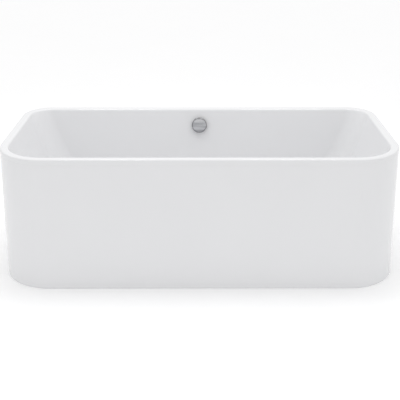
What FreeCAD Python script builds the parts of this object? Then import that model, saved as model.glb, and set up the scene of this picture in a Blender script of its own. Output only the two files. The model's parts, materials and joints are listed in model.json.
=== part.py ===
import FreeCAD, Part
import math
import os

from FreeCAD import Matrix, Placement, Vector

# Freestanding bathtub: an acrylic basin with a bonded one-piece skirt, a steel under-frame on
# levelling feet, and a waste and overflow set worked by a rotary knob. Millimetres.
# X runs along the tub, +Y points to the overflow wall, Z is up; the origin is the middle of
# the footprint at floor level.

# ---- Overall envelope ----
LENGTH = 1800.0
WIDTH = 800.0
HEIGHT = 610.0
SKIRT_DRAFT = 8.0           # each skirt wall leans in by this much from floor to rim
FRONT_RADIUS = 215.0        # outer plan corners at the rim
BACK_RADIUS = 130.0
FOOT_ROUND = 3.0            # rounding of the skirt's lower edge
RIM_WIDTH = 36.0
RIM_OUTER_ROUND = 7.0
RIM_INNER_ROUND = 11.0
RIM_LIP = 24.0              # height of the rim's turned-down outer edge
ACRYLIC = 5.0
LAMINATE = 4.0
BOND_STRIP = 3.0
BOND_REACH = 14.0           # the bond strip reaches this far above and below the seam

# ---- Basin ----
BASIN_DEPTH = 460.0
WALL_START_DEPTH = 170.0    # how long the walls stay steep below the rim
END_INSETS = (50.0, 180.0, 290.0)
SIDE_INSETS = (26.0, 66.0, 130.0)
FLOOR_CORNER_RADIUS = 120.0
BASIN_SECTIONS = 12

# ---- Under-frame ----
BOARD_LENGTH = 1040.0
BOARD_WIDTH = 400.0
BOARD_THICK = 16.0
BOARD_CORNER = 40.0
BOARD_HOLE = 52.0
TUBE = 25.0
TUBE_WALL = 2.0
RAIL_Y = 185.0
RAIL_LENGTH = 1080.0
CROSS_X = {"left": -500.0, "middle": -160.0, "right": 500.0}
CROSS_LENGTH = 740.0
BATTEN_THICK = 18.0
BATTEN_BOTTOM = 10.0
BATTEN_TOP = 70.0
BATTEN_HALF_LONG = 640.0
BATTEN_HALF_SHORT = 150.0
BRACKET_THICK = 3.0
BRACKET_HALF_WIDTH = 18.0
BRACKET_SHELF = 42.0
BRACKET_BOTTOM = 25.0
BRACKET_SCREW_Z = 45.0
BRACKET_SCREW_X = 10.0
SCREW_RADIUS = 2.0
SCREW_HEAD_RADIUS = 4.5
SCREW_HEAD = 2.5
BOARD_SCREW_X = (-400.0, -60.0, 250.0, 400.0)
BOARD_SCREW_GRIP = 11.0     # length of screw inside the board
FRAME_BOLT_RADIUS = 4.0
FRAME_BOLT_FLATS = 13.0
FRAME_BOLT_HEAD = 5.0
FRAME_BOLT_REACH = 8.0      # length of bolt inside the rail

# ---- Levelling feet ----
FOOT_Y = 300.0
STUD_RADIUS = 6.0
STUD_BOTTOM = 8.0
STUD_TOP = 125.0
STUD_SHANK = 22.0           # plain length above the pad
THREAD_PITCH = 1.75
THREAD_DEPTH = 0.9
NUT_FLATS = 19.0
NUT_HEIGHT = 10.0
PAD_RADIUS = 26.0
PAD_RECESS = 3.0            # hollow under the sole
PAD_SOLE = 8.0              # width of the ring that stands on the floor
PAD_EASE = 1.0
PAD_SIDE_TOP = 7.0
PAD_SHOULDER = (24.0, 9.0)  # radius and height
PAD_NECK = (14.0, 12.0)
PAD_SOCKET_RADIUS = 10.0
PAD_SOCKET_TOP = 20.0
RUNNING_GAP = 0.06
STUD_CLEARANCE = 0.5         # gap round the stud where it passes a cross member

# ---- Overflow set: U right, V up the wall, W out of the wall into the tub ----
KNOB_DROP = 82.0            # knob axis below the rim's top
KNOB_RADIUS = 39.0
KNOB_BACK = 9.0
KNOB_FACE = 20.0
KNOB_CROWN = 1.6
KNOB_EDGE = 4.0
KNOB_WALL = 2.5
KNOB_SKIN = 3.5             # thickness of the face
HUB_RADIUS = 10.0
SPINDLE_RADIUS = 6.0
SPINDLE_TOP = 17.0
GRUB_W = 12.0
OVERFLOW_HOLE = 25.0
OVERFLOW_CLEAR = 45.0
STRAINER_RADIUS = 33.0
STRAINER_THICK = 3.0
STRAINER_HOLE = 4.5
STRAINER_HOLE_RING = 16.0
OVERFLOW_SCREW_U = 19.0
OVERFLOW_SCREW_LENGTH = 23.0
BOSS_RADIUS = 5.0
GASKET_THICK = 4.0
CUP_FLANGE = 36.0
CUP_RADIUS = 31.0
CUP_BORE = 28.0
CUP_BACK = -35.0
SPOOL_RADIUS = 9.0
SPOOL_GROOVE = 4.9
SPOOL_BACK = -26.0
SPOOL_FRONT = -14.0
SPOOL_CHEEK = 2.0           # each end disc, before its 45 degree side
SPOOL_SLOPE = 1.0
TRUNNION_LENGTH = 5.0
TRUNNION_RADIUS = 3.0
PIPE_W = -22.5              # depth of the overflow pipe's axis behind the wetted face
PIPE_RADIUS = 12.0
PIPE_BORE = 10.0
SPIGOT_LENGTH = 58.0
CABLE_RADIUS = 3.0
WIRE_RADIUS = 1.2
CABLE_V = 5.1
CABLE_W = -21.0
CABLE_PORT_RADIUS = 5.0
CABLE_PORT_LENGTH = 6.0     # how far each port grips the sheath
CABLE_SEAT_U = -34.0        # end face of the sheath in the overflow body's port
UPPER_NUT = (16.0, 10.0)    # outer radius and half length

# ---- Waste set ----
WASTE_X = 0.0
WASTE_Y = 0.0
WASTE_HOLE = 26.0
WASTE_GASKET = 3.0
WASTE_FLANGE = 44.0
WASTE_RADIUS = 34.0
WASTE_BOTTOM = 44.0
WASTE_WALL = 3.0
THROAT_RADIUS = 25.9
THROAT_BORE = 22.5
THROAT_DEPTH = 11.0
DRAIN_FLANGE_RADIUS = 35.5
DRAIN_FLANGE_RISE = 2.2
DRAIN_FLANGE_EDGE = 0.8
DRAIN_FLANGE_EASE = 2.0
DRAIN_SEAT_WIDTH = 5.5
DRAIN_SEAT_DROP = 3.0
GUIDE_RADIUS = 8.0
SPOKES = 3
SPOKE_HALF_WIDTH = 1.25
SPOKE_HEIGHT = 7.0
STEM_RADIUS = 4.0
STEM_BOTTOM = 104.0
STEM_DISC = 10.0
PLUG_LIFT = 10.0
PLUG_RADIUS = 33.5
PLUG_OUTLINE = (            # radius and height above the drain flange
    (0.0, 2.0), (29.0, 2.0), (31.5, 0.6), (33.2, 0.8), (33.5, 2.2), (31.0, 4.6),
    (24.0, 6.6), (12.0, 7.8), (0.0, 8.2),
)
SEAL_OUTLINE = ((10.0, -1.5), (24.2, -2.6), (27.0, 0.2), (27.5, 2.0), (10.0, 2.0))
LEVER_ARM = 20.0
LEVER_TAIL = 16.0
LEVER_HALF_WIDTH = 2.5
LEVER_HUB = 5.0
LEVER_TIP = 3.0
LEVER_GAP = 0.3
LEVER_PIVOT_X = -19.0
PIN_RADIUS = 2.0
CABLE_Z = 90.0
CABLE_SEAT_X = -44.0        # end face of the sheath in the waste body's port
PUSH_HEAD = 2.6
PUSH_HEAD_LENGTH = 3.4
PUSH_GAP = 0.9              # between the push head and the lever at rest
WIRE_TAIL = 8.5             # how far the wire runs into the sheath
LINK_Z = 68.0               # axis of the pipe from the waste body to the trap
LINK_RADIUS = 20.0
LINK_BORE = 17.0
LINK_JOINT_X = 66.0
LINK_NUT = (26.0, 12.0)     # outer radius and half length
RETURN_Z = 72.0             # axis of the overflow pipe's lower end
RETURN_Y = 60.0
LOWER_NUT = (18.0, 11.0)
TRAP_X = 122.0
TRAP_RADIUS = 42.0
TRAP_WALL = 3.0
TRAP_BOTTOM = 14.0
TRAP_TOP = 108.5
TRAP_BAFFLE_BOTTOM = 30.0
TRAP_BAFFLE_HALF = 2.0
TRAP_BAFFLE_GAP = 1.5
TRAP_SEAL = 1.5
TRAP_CAP_THICK = 4.0
TRAP_CAP_RADIUS = 44.0
TRAP_CAP_OVERLAP = 3.0
TRAP_GRIP = 6.0
DRAIN_Z = 80.0
DRAIN_RADIUS = 25.0
DRAIN_BORE = 22.0
DRAIN_JOINT_X = 184.0
DRAIN_X = 244.0
DRAIN_END_Z = 6.0
DRAIN_BEND = 30.0
DRAIN_NUT = (31.0, 12.0)
NUT_RIBS = 12
NUT_RIB_RADIUS = 2.0

# ---- Runs from the overflow to the waste ----
PIPE_FIRST_V = -110.0       # end of the pipe's run along the wall
PIPE_CORNERS = ((0.0, 330.0, 190.0), (0.0, 290.0, RETURN_Z))
PIPE_BENDS = [200.0, 120.0, 60.0]
CABLE_RUN_X = -86.0
CABLE_CORNERS = ((CABLE_RUN_X, 350.0, 260.0), (CABLE_RUN_X, 310.0, CABLE_Z))
CABLE_BENDS = [40.0, 150.0, 60.0, 32.0]

# ---- Worked out from the above ----
MOUTH_HALF_X = LENGTH / 2 - SKIRT_DRAFT - RIM_WIDTH
MOUTH_HALF_Y = WIDTH / 2 - SKIRT_DRAFT - RIM_WIDTH
FLOOR_Z = HEIGHT - BASIN_DEPTH
SHELL_UNDER_Z = FLOOR_Z - ACRYLIC
BOARD_TOP = SHELL_UNDER_Z - LAMINATE
BOARD_BOTTOM = BOARD_TOP - BOARD_THICK
RAIL_BOTTOM = BOARD_BOTTOM - TUBE
CROSS_BOTTOM = RAIL_BOTTOM - TUBE
SEAM_Z = HEIGHT - RIM_LIP
NECK_TOP = SHELL_UNDER_Z - WASTE_GASKET
PLUG_SEAT = FLOOR_Z + DRAIN_FLANGE_RISE
LEVER_SWING = math.degrees(math.asin(PLUG_LIFT / 2 / LEVER_ARM))
LEVER_PIVOT_Z = STEM_BOTTOM - LEVER_GAP - LEVER_TIP + PLUG_LIFT / 2
BEYOND = 2.0                # how far a cutting tool runs past the face it opens
RIGHT = Vector(1, 0, 0)
BACK = Vector(0, 1, 0)
UP = Vector(0, 0, 1)
ORIGIN = Vector(0, 0, 0)


# ---- Shared helpers ----

def box_between(low, high):
    """Box from its lowest to its highest corner."""
    size = [top - bottom for bottom, top in zip(low, high)]
    return Part.makeBox(size[0], size[1], size[2], Vector(*low))


def rod(radius, start, end):
    """Solid cylinder between two points."""
    along = end - start
    return Part.makeCylinder(radius, along.Length, start, along)


def ring(outer, inner, start, end):
    """Tube between two points."""
    along = end - start
    reach = along * (BEYOND / along.Length)
    return rod(outer, start, end).cut(rod(inner, start - reach, end + reach))


def fused(solids):
    """One clean solid from several that touch or overlap."""
    first, *rest = solids
    return first.fuse(rest).removeSplitter()


def hexagon(flats, bottom, height):
    """Upright hexagonal prism, its base centred on a point."""
    corner = flats / math.sqrt(3)
    spokes = [math.radians(60 * k) for k in range(7)]
    points = [bottom + Vector(math.cos(a), math.sin(a), 0) * corner for a in spokes]
    return Part.Face(Part.makePolygon(points)).extrude(UP * height)


def revolved(profile, centre):
    """Solid of revolution about the vertical through centre, from (radius, z) points."""
    points = [Vector(radius, 0, z) for radius, z in profile]
    face = Part.Face(Part.makePolygon(points + points[:1]))
    solid = face.revolve(ORIGIN, UP, 360)
    solid.translate(centre)
    return solid


def rounded_outline(half_x, half_y, front, back, z):
    """Horizontal rounded rectangle whose front and back corners have their own radii."""
    corners = [(1, 1, back), (-1, 1, back), (-1, -1, front), (1, -1, front)]
    arcs = []
    for quarter, (sign_x, sign_y, radius) in enumerate(corners):
        centre = Vector(sign_x * (half_x - radius), sign_y * (half_y - radius), z)
        angles = [math.radians(90 * quarter + turn) for turn in (0, 45, 90)]
        arcs.append([centre + Vector(math.cos(a), math.sin(a), 0) * radius for a in angles])
    edges = []
    for arc, following in zip(arcs, arcs[1:] + arcs[:1]):
        edges.append(Part.Arc(*arc).toShape())
        edges.append(Part.LineSegment(arc[2], following[0]).toShape())
    return Part.Wire(edges)


def smooth_path(points, radii):
    """Straight runs joined by tangent arcs, one radius for each inner point."""
    edges = []
    last = points[0]
    for before, corner, after, radius in zip(points, points[1:], points[2:], radii):
        inward = (before - corner).normalize()
        outward = (after - corner).normalize()
        half_turn = (math.pi - inward.getAngle(outward)) / 2
        reach = radius * math.tan(half_turn)
        first = corner + inward * reach
        second = corner + outward * reach
        bisector = (inward + outward).normalize()
        middle = corner + bisector * (radius / math.cos(half_turn) - radius)
        edges.append(Part.LineSegment(last, first).toShape())
        edges.append(Part.Arc(first, middle, second).toShape())
        last = second
    edges.append(Part.LineSegment(last, points[-1]).toShape())
    return Part.Wire(edges)


def swept_rod(path, radius):
    """Round bar along a path."""
    first = path.Edges[0]
    heading = first.tangentAt(first.FirstParameter)
    profile = Part.Wire([Part.Circle(first.Vertexes[0].Point, heading, radius).toShape()])
    return path.makePipeShell([profile], True, False)


def swept_pipe(path, outer, inner):
    """Hollow pipe along a path."""
    return swept_rod(path, outer).cut(swept_rod(path, inner))


def mirrored_pair(solid):
    """The solid and its mirror image across the XZ plane."""
    return [solid, solid.mirror(ORIGIN, BACK)]


def cut_all(solid, tools):
    """The solid with every tool taken out of it."""
    for tool in tools:
        solid = solid.cut(tool)
    return solid


def slab(low, high):
    """Horizontal slice of space wider than the tub."""
    return box_between((-LENGTH, -WIDTH, low), (LENGTH, WIDTH, high))


def at_waste(x, y, z):
    """Point given from the waste's own vertical axis."""
    return Vector(WASTE_X + x, WASTE_Y + y, z)


# ---- Outer and inner surfaces ----

def envelope(inset):
    """Drafted block that fills the skirt, moved in from the outer face by an inset."""
    sections = []
    for z, draft in ((0, 0), (HEIGHT, SKIRT_DRAFT)):
        shift = inset + draft
        half_x = LENGTH / 2 - shift
        half_y = WIDTH / 2 - shift
        front = FRONT_RADIUS + SKIRT_DRAFT - shift
        back = BACK_RADIUS + SKIRT_DRAFT - shift
        sections.append(rounded_outline(half_x, half_y, front, back, z))
    return Part.makeLoft(sections, True, True)


def bezier(t, handles):
    """Cubic Bezier value at t for a curve that starts at 0."""
    first, second, last = handles
    return 3 * (1 - t) ** 2 * t * first + 3 * (1 - t) * t**2 * second + t**3 * last


def basin_block(thickness):
    """Block that fills the basin, grown outwards by a thickness; 0 is the wetted face."""
    depths = (WALL_START_DEPTH, BASIN_DEPTH + thickness, BASIN_DEPTH + thickness)
    sections = []
    for k in range(BASIN_SECTIONS + 1):
        t = k / BASIN_SECTIONS
        grow = thickness * (1 - t**3)
        half_x = MOUTH_HALF_X - bezier(t, END_INSETS) + grow
        half_y = MOUTH_HALF_Y - bezier(t, SIDE_INSETS) + grow
        front = corner_radius(FRONT_RADIUS, t) + grow
        back = corner_radius(BACK_RADIUS, t) + grow
        sections.append(rounded_outline(half_x, half_y, front, back, HEIGHT - bezier(t, depths)))
    return Part.makeLoft(sections, True, False)


def corner_radius(outer_radius, t):
    """Plan radius of a basin corner, blending from the rim to the floor."""
    mouth = outer_radius - RIM_WIDTH
    return mouth + (FLOOR_CORNER_RADIUS - mouth) * t


def side_wall_at(depth):
    """Y of the wetted long wall and its lean from vertical, in radians, at a depth."""
    depths = (WALL_START_DEPTH, BASIN_DEPTH, BASIN_DEPTH)
    low = 0.0
    high = 1.0
    for _ in range(50):
        t = (low + high) / 2
        if bezier(t, depths) < depth:
            low = t
        else:
            high = t
    step = 1e-4
    run = bezier(t + step, SIDE_INSETS) - bezier(t - step, SIDE_INSETS)
    drop = bezier(t + step, depths) - bezier(t - step, depths)
    return MOUTH_HALF_Y - bezier(t, SIDE_INSETS), math.atan2(run, drop)


KNOB_Y, KNOB_LEAN = side_wall_at(KNOB_DROP)
KNOB_CENTRE = Vector(0, KNOB_Y, HEIGHT - KNOB_DROP)
KNOB_AXIS = Vector(0, -math.cos(KNOB_LEAN), math.sin(KNOB_LEAN))
KNOB_UP = Vector(0, math.sin(KNOB_LEAN), math.cos(KNOB_LEAN))


def at_wall(u, v, w):
    """Point given in the overflow's own frame."""
    return KNOB_CENTRE + RIGHT * u + KNOB_UP * v + KNOB_AXIS * w


def to_wall(solid):
    """Solid moved from the overflow's own frame, with W as its Z, to its place in the tub."""
    rows = zip(RIGHT, KNOB_UP, KNOB_AXIS, KNOB_CENTRE)
    matrix = Matrix(*[value for row in rows for value in row], 0, 0, 0, 1)
    moved = solid.copy()
    moved.Placement = Placement(matrix).multiply(moved.Placement)
    return moved


# ---- Shells ----

def follows_outline(edge, half_x, half_y):
    """True for an edge at rim height that touches the outline of this size."""
    box = edge.BoundBox
    reach_x = max(abs(box.XMin), abs(box.XMax))
    reach_y = max(abs(box.YMin), abs(box.YMax))
    return abs(reach_x - half_x) < 0.5 or abs(reach_y - half_y) < 0.5


def top_edges(solid, half_x, half_y):
    """Edges of one of the rim's two outlines."""
    level = [edge for edge in solid.Edges if edge.BoundBox.ZMin > HEIGHT - 0.1]
    return [edge for edge in level if follows_outline(edge, half_x, half_y)]


def make_basin():
    """Acrylic basin with its flat rim and the rim's turned-down outer lip."""
    shell = basin_block(ACRYLIC)
    cap = envelope(0).common(slab(SEAM_Z, HEIGHT))
    cap = cap.cut(envelope(ACRYLIC).common(slab(0, HEIGHT - ACRYLIC)))
    basin = cap.fuse(shell).cut(basin_block(0)).removeSplitter()
    rim_x = LENGTH / 2 - SKIRT_DRAFT
    rim_y = WIDTH / 2 - SKIRT_DRAFT
    basin = basin.makeFillet(RIM_INNER_ROUND, top_edges(basin, MOUTH_HALF_X, MOUTH_HALF_Y))
    basin = basin.makeFillet(RIM_OUTER_ROUND, top_edges(basin, rim_x, rim_y))
    waste_hole = rod(WASTE_HOLE, at_waste(0, 0, 0), at_waste(0, 0, HEIGHT))
    overflow_hole = rod(OVERFLOW_HOLE, UP * CUP_BACK, UP * KNOB_FACE)
    return basin.cut(waste_hole).cut(to_wall(overflow_hole))


def make_laminate():
    """Glass-fibre skin sprayed on the basin's back, left bare round the two fittings."""
    skin = basin_block(ACRYLIC + LAMINATE).cut(basin_block(ACRYLIC))
    skin = skin.common(slab(0, SEAM_Z - BOND_REACH))
    waste_clear = rod(WASTE_FLANGE + BEYOND, at_waste(0, 0, 0), at_waste(0, 0, SHELL_UNDER_Z))
    round_clear = rod(OVERFLOW_CLEAR, UP * CUP_BACK, UP * -BEYOND)
    pipe_half = PIPE_RADIUS + 8
    pipe_clear = box_between((-pipe_half, -2 * OVERFLOW_CLEAR, CUP_BACK), (pipe_half, 0, -BEYOND))
    return cut_all(skin, [waste_clear, to_wall(round_clear), to_wall(pipe_clear)])


def make_shells(basin):
    """Basin, the laminate behind it, the skirt and the strip that bonds them."""
    inner = envelope(ACRYLIC)
    skirt = envelope(0).cut(inner).common(slab(0, SEAM_Z))
    low_edges = [edge for edge in skirt.Edges if edge.BoundBox.ZMax < 0.1]
    outer_low = [edge for edge in low_edges if follows_outline(edge, LENGTH / 2, WIDTH / 2)]
    strip = inner.cut(envelope(ACRYLIC + BOND_STRIP))
    return {
        "basin_shell": basin,
        "basin_laminate": make_laminate(),
        "outer_skirt": skirt.makeFillet(FOOT_ROUND, outer_low),
        "rim_bond_strip": strip.common(slab(SEAM_Z - BOND_REACH, SEAM_Z + BOND_REACH)),
    }


# ---- Under-frame ----

def square_tube(half_x, half_y, centre):
    """Square steel tube centred on a point; its longer half size gives its direction."""
    outer = Vector(half_x, half_y, TUBE / 2)
    wall = TUBE_WALL
    along_x = half_x > half_y
    bore = outer + Vector(BEYOND if along_x else -wall, -wall if along_x else BEYOND, -wall)
    tube = box_between(centre - outer, centre + outer)
    return tube.cut(box_between(centre - bore, centre + bore))


def make_battens():
    """Wooden battens bonded inside the skirt's four straight walls, just above the floor."""
    band = envelope(ACRYLIC).cut(envelope(ACRYLIC + BATTEN_THICK))
    band = band.common(slab(BATTEN_BOTTOM, BATTEN_TOP))
    long_x = BATTEN_HALF_LONG
    short_y = BATTEN_HALF_SHORT
    return {
        "front": band.common(box_between((-long_x, -WIDTH, 0), (long_x, 0, HEIGHT))),
        "back": band.common(box_between((-long_x, 0, 0), (long_x, WIDTH, HEIGHT))),
        "left": band.common(box_between((-LENGTH, -short_y, 0), (0, short_y, HEIGHT))),
        "right": band.common(box_between((0, -short_y, 0), (LENGTH, short_y, HEIGHT))),
    }


def pan_screw(seat, direction, length):
    """Pan-head screw whose head sits on seat and whose shank runs along direction."""
    head = rod(SCREW_HEAD_RADIUS, seat - direction * SCREW_HEAD, seat)
    return fused([head, rod(SCREW_RADIUS, seat, seat + direction * length)])


def make_bracket(x, batten):
    """Steel angle between one cross member's back end and the back batten, and its screws."""
    face_y = CROSS_LENGTH / 2 + BRACKET_THICK
    low_x = x - BRACKET_HALF_WIDTH
    high_x = x + BRACKET_HALF_WIDTH
    shelf_top = RAIL_BOTTOM + BRACKET_THICK
    back_y = face_y + BRACKET_THICK
    leg = box_between((low_x, face_y, BRACKET_BOTTOM), (high_x, back_y, shelf_top))
    shelf = box_between((low_x, face_y - BRACKET_SHELF, RAIL_BOTTOM), (high_x, back_y, shelf_top))
    angle = fused([leg, shelf]).cut(batten)
    offsets = (-BRACKET_SCREW_X, BRACKET_SCREW_X)
    seats = [Vector(x + offset, face_y, BRACKET_SCREW_Z) for offset in offsets]
    screws = [pan_screw(seat, BACK, BATTEN_THICK) for seat in seats]
    top_seat = Vector(x, face_y - BRACKET_SHELF / 2, shelf_top)
    screws.append(pan_screw(top_seat, -UP, BRACKET_THICK + 2 * TUBE_WALL))
    return angle, screws


def make_frame_fixings():
    """Bolts through each crossing of rail and cross member, and screws up into the board."""
    bolts = []
    screws = []
    for y in (-RAIL_Y, RAIL_Y):
        for x in CROSS_X.values():
            seat = Vector(x, y, CROSS_BOTTOM)
            end = Vector(x, y, RAIL_BOTTOM + FRAME_BOLT_REACH)
            head = hexagon(FRAME_BOLT_FLATS, seat - UP * FRAME_BOLT_HEAD, FRAME_BOLT_HEAD)
            bolts.append(fused([head, rod(FRAME_BOLT_RADIUS, seat, end)]))
        for x in BOARD_SCREW_X:
            screws.append(pan_screw(Vector(x, y, RAIL_BOTTOM), UP, TUBE + BOARD_SCREW_GRIP))
    return bolts, screws


def make_frame():
    """Base board, rails, cross members, skirt battens, brackets and all their fixings."""
    outline = rounded_outline(
        BOARD_LENGTH / 2, BOARD_WIDTH / 2, BOARD_CORNER, BOARD_CORNER, BOARD_BOTTOM
    )
    board = Part.Face(outline).extrude(UP * BOARD_THICK)
    board = board.cut(rod(BOARD_HOLE, at_waste(0, 0, 0), at_waste(0, 0, HEIGHT)))
    rail_z = RAIL_BOTTOM + TUBE / 2
    cross_z = CROSS_BOTTOM + TUBE / 2
    steel = {
        "frame_rail_front": square_tube(RAIL_LENGTH / 2, TUBE / 2, Vector(0, -RAIL_Y, rail_z)),
        "frame_rail_back": square_tube(RAIL_LENGTH / 2, TUBE / 2, Vector(0, RAIL_Y, rail_z)),
    }
    for name, x in CROSS_X.items():
        stud_holes = [
            rod(STUD_RADIUS + STUD_CLEARANCE, Vector(x, y, 0), Vector(x, y, HEIGHT / 2))
            for y in (-FOOT_Y, FOOT_Y)
        ]
        cross = square_tube(TUBE / 2, CROSS_LENGTH / 2, Vector(x, 0, cross_z))
        steel[f"frame_cross_{name}"] = cut_all(cross, stud_holes)

    battens = make_battens()
    brackets = []
    bracket_screws = []
    for x in CROSS_X.values():
        angle, screws = make_bracket(x, battens["back"])
        brackets += mirrored_pair(cut_all(angle, screws))
        for screw in screws:
            bracket_screws += mirrored_pair(screw)
    frame_bolts, board_screws = make_frame_fixings()
    fixings = frame_bolts + board_screws + bracket_screws

    nodes = {"base_board": cut_all(board, board_screws)}
    nodes.update({name: cut_all(tube, fixings) for name, tube in steel.items()})
    nodes.update({f"skirt_batten_{k}": cut_all(v, bracket_screws) for k, v in battens.items()})
    nodes["skirt_brackets"] = Part.makeCompound(brackets)
    nodes["frame_bolts"] = Part.makeCompound(frame_bolts)
    nodes["board_screws"] = Part.makeCompound(board_screws)
    nodes["bracket_screws"] = Part.makeCompound(bracket_screws)
    return nodes


# ---- Levelling feet ----

def threaded_stud(place):
    """Stud with a plain shank above the pad and ring grooves for its thread."""
    root = STUD_RADIUS - THREAD_DEPTH
    z = STUD_BOTTOM + STUD_SHANK
    profile = [(0, STUD_BOTTOM), (STUD_RADIUS, STUD_BOTTOM), (STUD_RADIUS, z)]
    while z + THREAD_PITCH < STUD_TOP - THREAD_DEPTH:
        profile += [(root, z + THREAD_PITCH / 2), (STUD_RADIUS, z + THREAD_PITCH)]
        z += THREAD_PITCH
    profile += [(root, STUD_TOP), (0, STUD_TOP)]
    return revolved(profile, place)


def foot_pad(place):
    """Moulded pad with a domed top, a socket for the stud and a recessed sole."""
    sole = PAD_RADIUS - PAD_SOLE
    profile = [
        (STUD_RADIUS, STUD_BOTTOM),
        (0, STUD_BOTTOM),
        (0, PAD_RECESS),
        (sole, PAD_RECESS),
        (sole, 0),
        (PAD_RADIUS - PAD_EASE, 0),
        (PAD_RADIUS, PAD_EASE),
        (PAD_RADIUS, PAD_SIDE_TOP),
        PAD_SHOULDER,
        PAD_NECK,
        (PAD_SOCKET_RADIUS, PAD_SOCKET_TOP),
        (STUD_RADIUS, PAD_SOCKET_TOP),
    ]
    return revolved(profile, place)


def make_feet():
    """Six studs in pads, each with a weld nut on its cross member and a lock nut under it."""
    nodes = {}
    weld_nuts = []
    lock_nuts = []
    places = [Vector(x, y, 0) for x in CROSS_X.values() for y in (-FOOT_Y, FOOT_Y)]
    for number, place in enumerate(places, start=1):
        nodes[f"foot_stud_{number}"] = threaded_stud(place)
        nodes[f"foot_pad_{number}"] = foot_pad(place)
        bore = rod(STUD_RADIUS + RUNNING_GAP, place, place + UP * HEIGHT)
        weld_nuts.append(hexagon(NUT_FLATS, place + UP * RAIL_BOTTOM, NUT_HEIGHT).cut(bore))
        under = place + UP * (CROSS_BOTTOM - NUT_HEIGHT)
        lock_nuts.append(hexagon(NUT_FLATS, under, NUT_HEIGHT).cut(bore))
    nodes["foot_weld_nuts"] = Part.makeCompound(weld_nuts)
    nodes["foot_lock_nuts"] = Part.makeCompound(lock_nuts)
    return nodes


# ---- Overflow ----

def make_knob():
    """Hollow round knob with a crowned face, a rounded edge and a hub for the spindle."""
    bend = KNOB_EDGE * (1 - math.sin(math.pi / 4))
    inside = KNOB_RADIUS - KNOB_WALL
    under_face = KNOB_FACE + KNOB_CROWN - KNOB_SKIN
    points = {
        "crown_in": Vector(0, 0, under_face),
        "crown_out": Vector(0, 0, KNOB_FACE + KNOB_CROWN),
        "face_middle": Vector((KNOB_RADIUS - KNOB_EDGE) / 2, 0, KNOB_FACE + 0.75 * KNOB_CROWN),
        "face_end": Vector(KNOB_RADIUS - KNOB_EDGE, 0, KNOB_FACE),
        "edge_middle": Vector(KNOB_RADIUS - bend, 0, KNOB_FACE - bend),
        "edge_end": Vector(KNOB_RADIUS, 0, KNOB_FACE - KNOB_EDGE),
        "skirt_out": Vector(KNOB_RADIUS, 0, KNOB_BACK),
        "skirt_in": Vector(inside, 0, KNOB_BACK),
        "corner_in": Vector(inside, 0, under_face - KNOB_CROWN),
    }
    outline = [
        Part.LineSegment(points["crown_in"], points["crown_out"]),
        Part.Arc(points["crown_out"], points["face_middle"], points["face_end"]),
        Part.Arc(points["face_end"], points["edge_middle"], points["edge_end"]),
        Part.LineSegment(points["edge_end"], points["skirt_out"]),
        Part.LineSegment(points["skirt_out"], points["skirt_in"]),
        Part.LineSegment(points["skirt_in"], points["corner_in"]),
        Part.LineSegment(points["corner_in"], points["crown_in"]),
    ]
    face = Part.Face(Part.Wire([piece.toShape() for piece in outline]))
    shell = face.revolve(ORIGIN, UP, 360)
    hub = rod(HUB_RADIUS, UP * (KNOB_BACK - BEYOND), UP * (SPINDLE_TOP + BEYOND))
    return fused([shell, hub])


def make_overflow_body():
    """Cup behind the wall with screw bosses, a pipe spigot, a cable port and a bearing."""
    flange_back = -(ACRYLIC + GASKET_THICK) - STRAINER_THICK
    flange = rod(CUP_FLANGE, UP * flange_back, UP * (flange_back + STRAINER_THICK))
    cup = rod(CUP_RADIUS, UP * CUP_BACK, UP * flange_back)
    spigot_start = Vector(0, -CUP_BORE, PIPE_W)
    spigot = rod(PIPE_RADIUS, spigot_start, Vector(0, -SPIGOT_LENGTH, PIPE_W))
    cable = Vector(CABLE_SEAT_U, CABLE_V, CABLE_W)
    port_end = cable - RIGHT * CABLE_PORT_LENGTH
    port = rod(CABLE_PORT_RADIUS, port_end, cable + RIGHT * CABLE_PORT_LENGTH)
    hollow = rod(CUP_BORE, UP * (CUP_BACK + BEYOND), UP * flange_back * 0.5)
    bore_start = Vector(0, -HUB_RADIUS, PIPE_W)
    bore = rod(PIPE_BORE, bore_start, Vector(0, -SPIGOT_LENGTH - BEYOND, PIPE_W))
    wire_way = rod(WIRE_RADIUS, cable, cable + RIGHT * (CUP_RADIUS - SPOOL_RADIUS))
    seat = rod(CABLE_RADIUS, port_end - RIGHT * BEYOND, cable)
    outside = cut_all(fused([flange, cup, spigot, port]), [hollow, bore, wire_way, seat])
    places = [RIGHT * (side * OVERFLOW_SCREW_U) for side in (-1, 1)]
    bosses = [rod(BOSS_RADIUS, place + UP * CUP_BACK, place - UP * ACRYLIC) for place in places]
    sleeve = SPINDLE_RADIUS
    bearing = ring(
        sleeve, TRUNNION_RADIUS + RUNNING_GAP, UP * (CUP_BACK + 1), UP * (SPOOL_BACK - 1)
    )
    return fused([outside, bearing] + bosses)


def make_spool():
    """Spool on the spindle's inner end, with a groove for the wire and a trunnion."""
    back_cheek = SPOOL_BACK + SPOOL_CHEEK
    front_cheek = SPOOL_FRONT - SPOOL_CHEEK * 2
    trunnion_end = SPOOL_BACK - TRUNNION_LENGTH
    profile = [
        (0, trunnion_end),
        (TRUNNION_RADIUS, trunnion_end),
        (TRUNNION_RADIUS, SPOOL_BACK),
        (SPOOL_RADIUS, SPOOL_BACK),
        (SPOOL_RADIUS, back_cheek),
        (SPOOL_GROOVE, back_cheek + SPOOL_SLOPE),
        (SPOOL_GROOVE, front_cheek - SPOOL_SLOPE),
        (SPOOL_RADIUS, front_cheek),
        (SPOOL_RADIUS, SPOOL_FRONT),
        (0, SPOOL_FRONT),
    ]
    return revolved(profile, ORIGIN)


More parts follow.
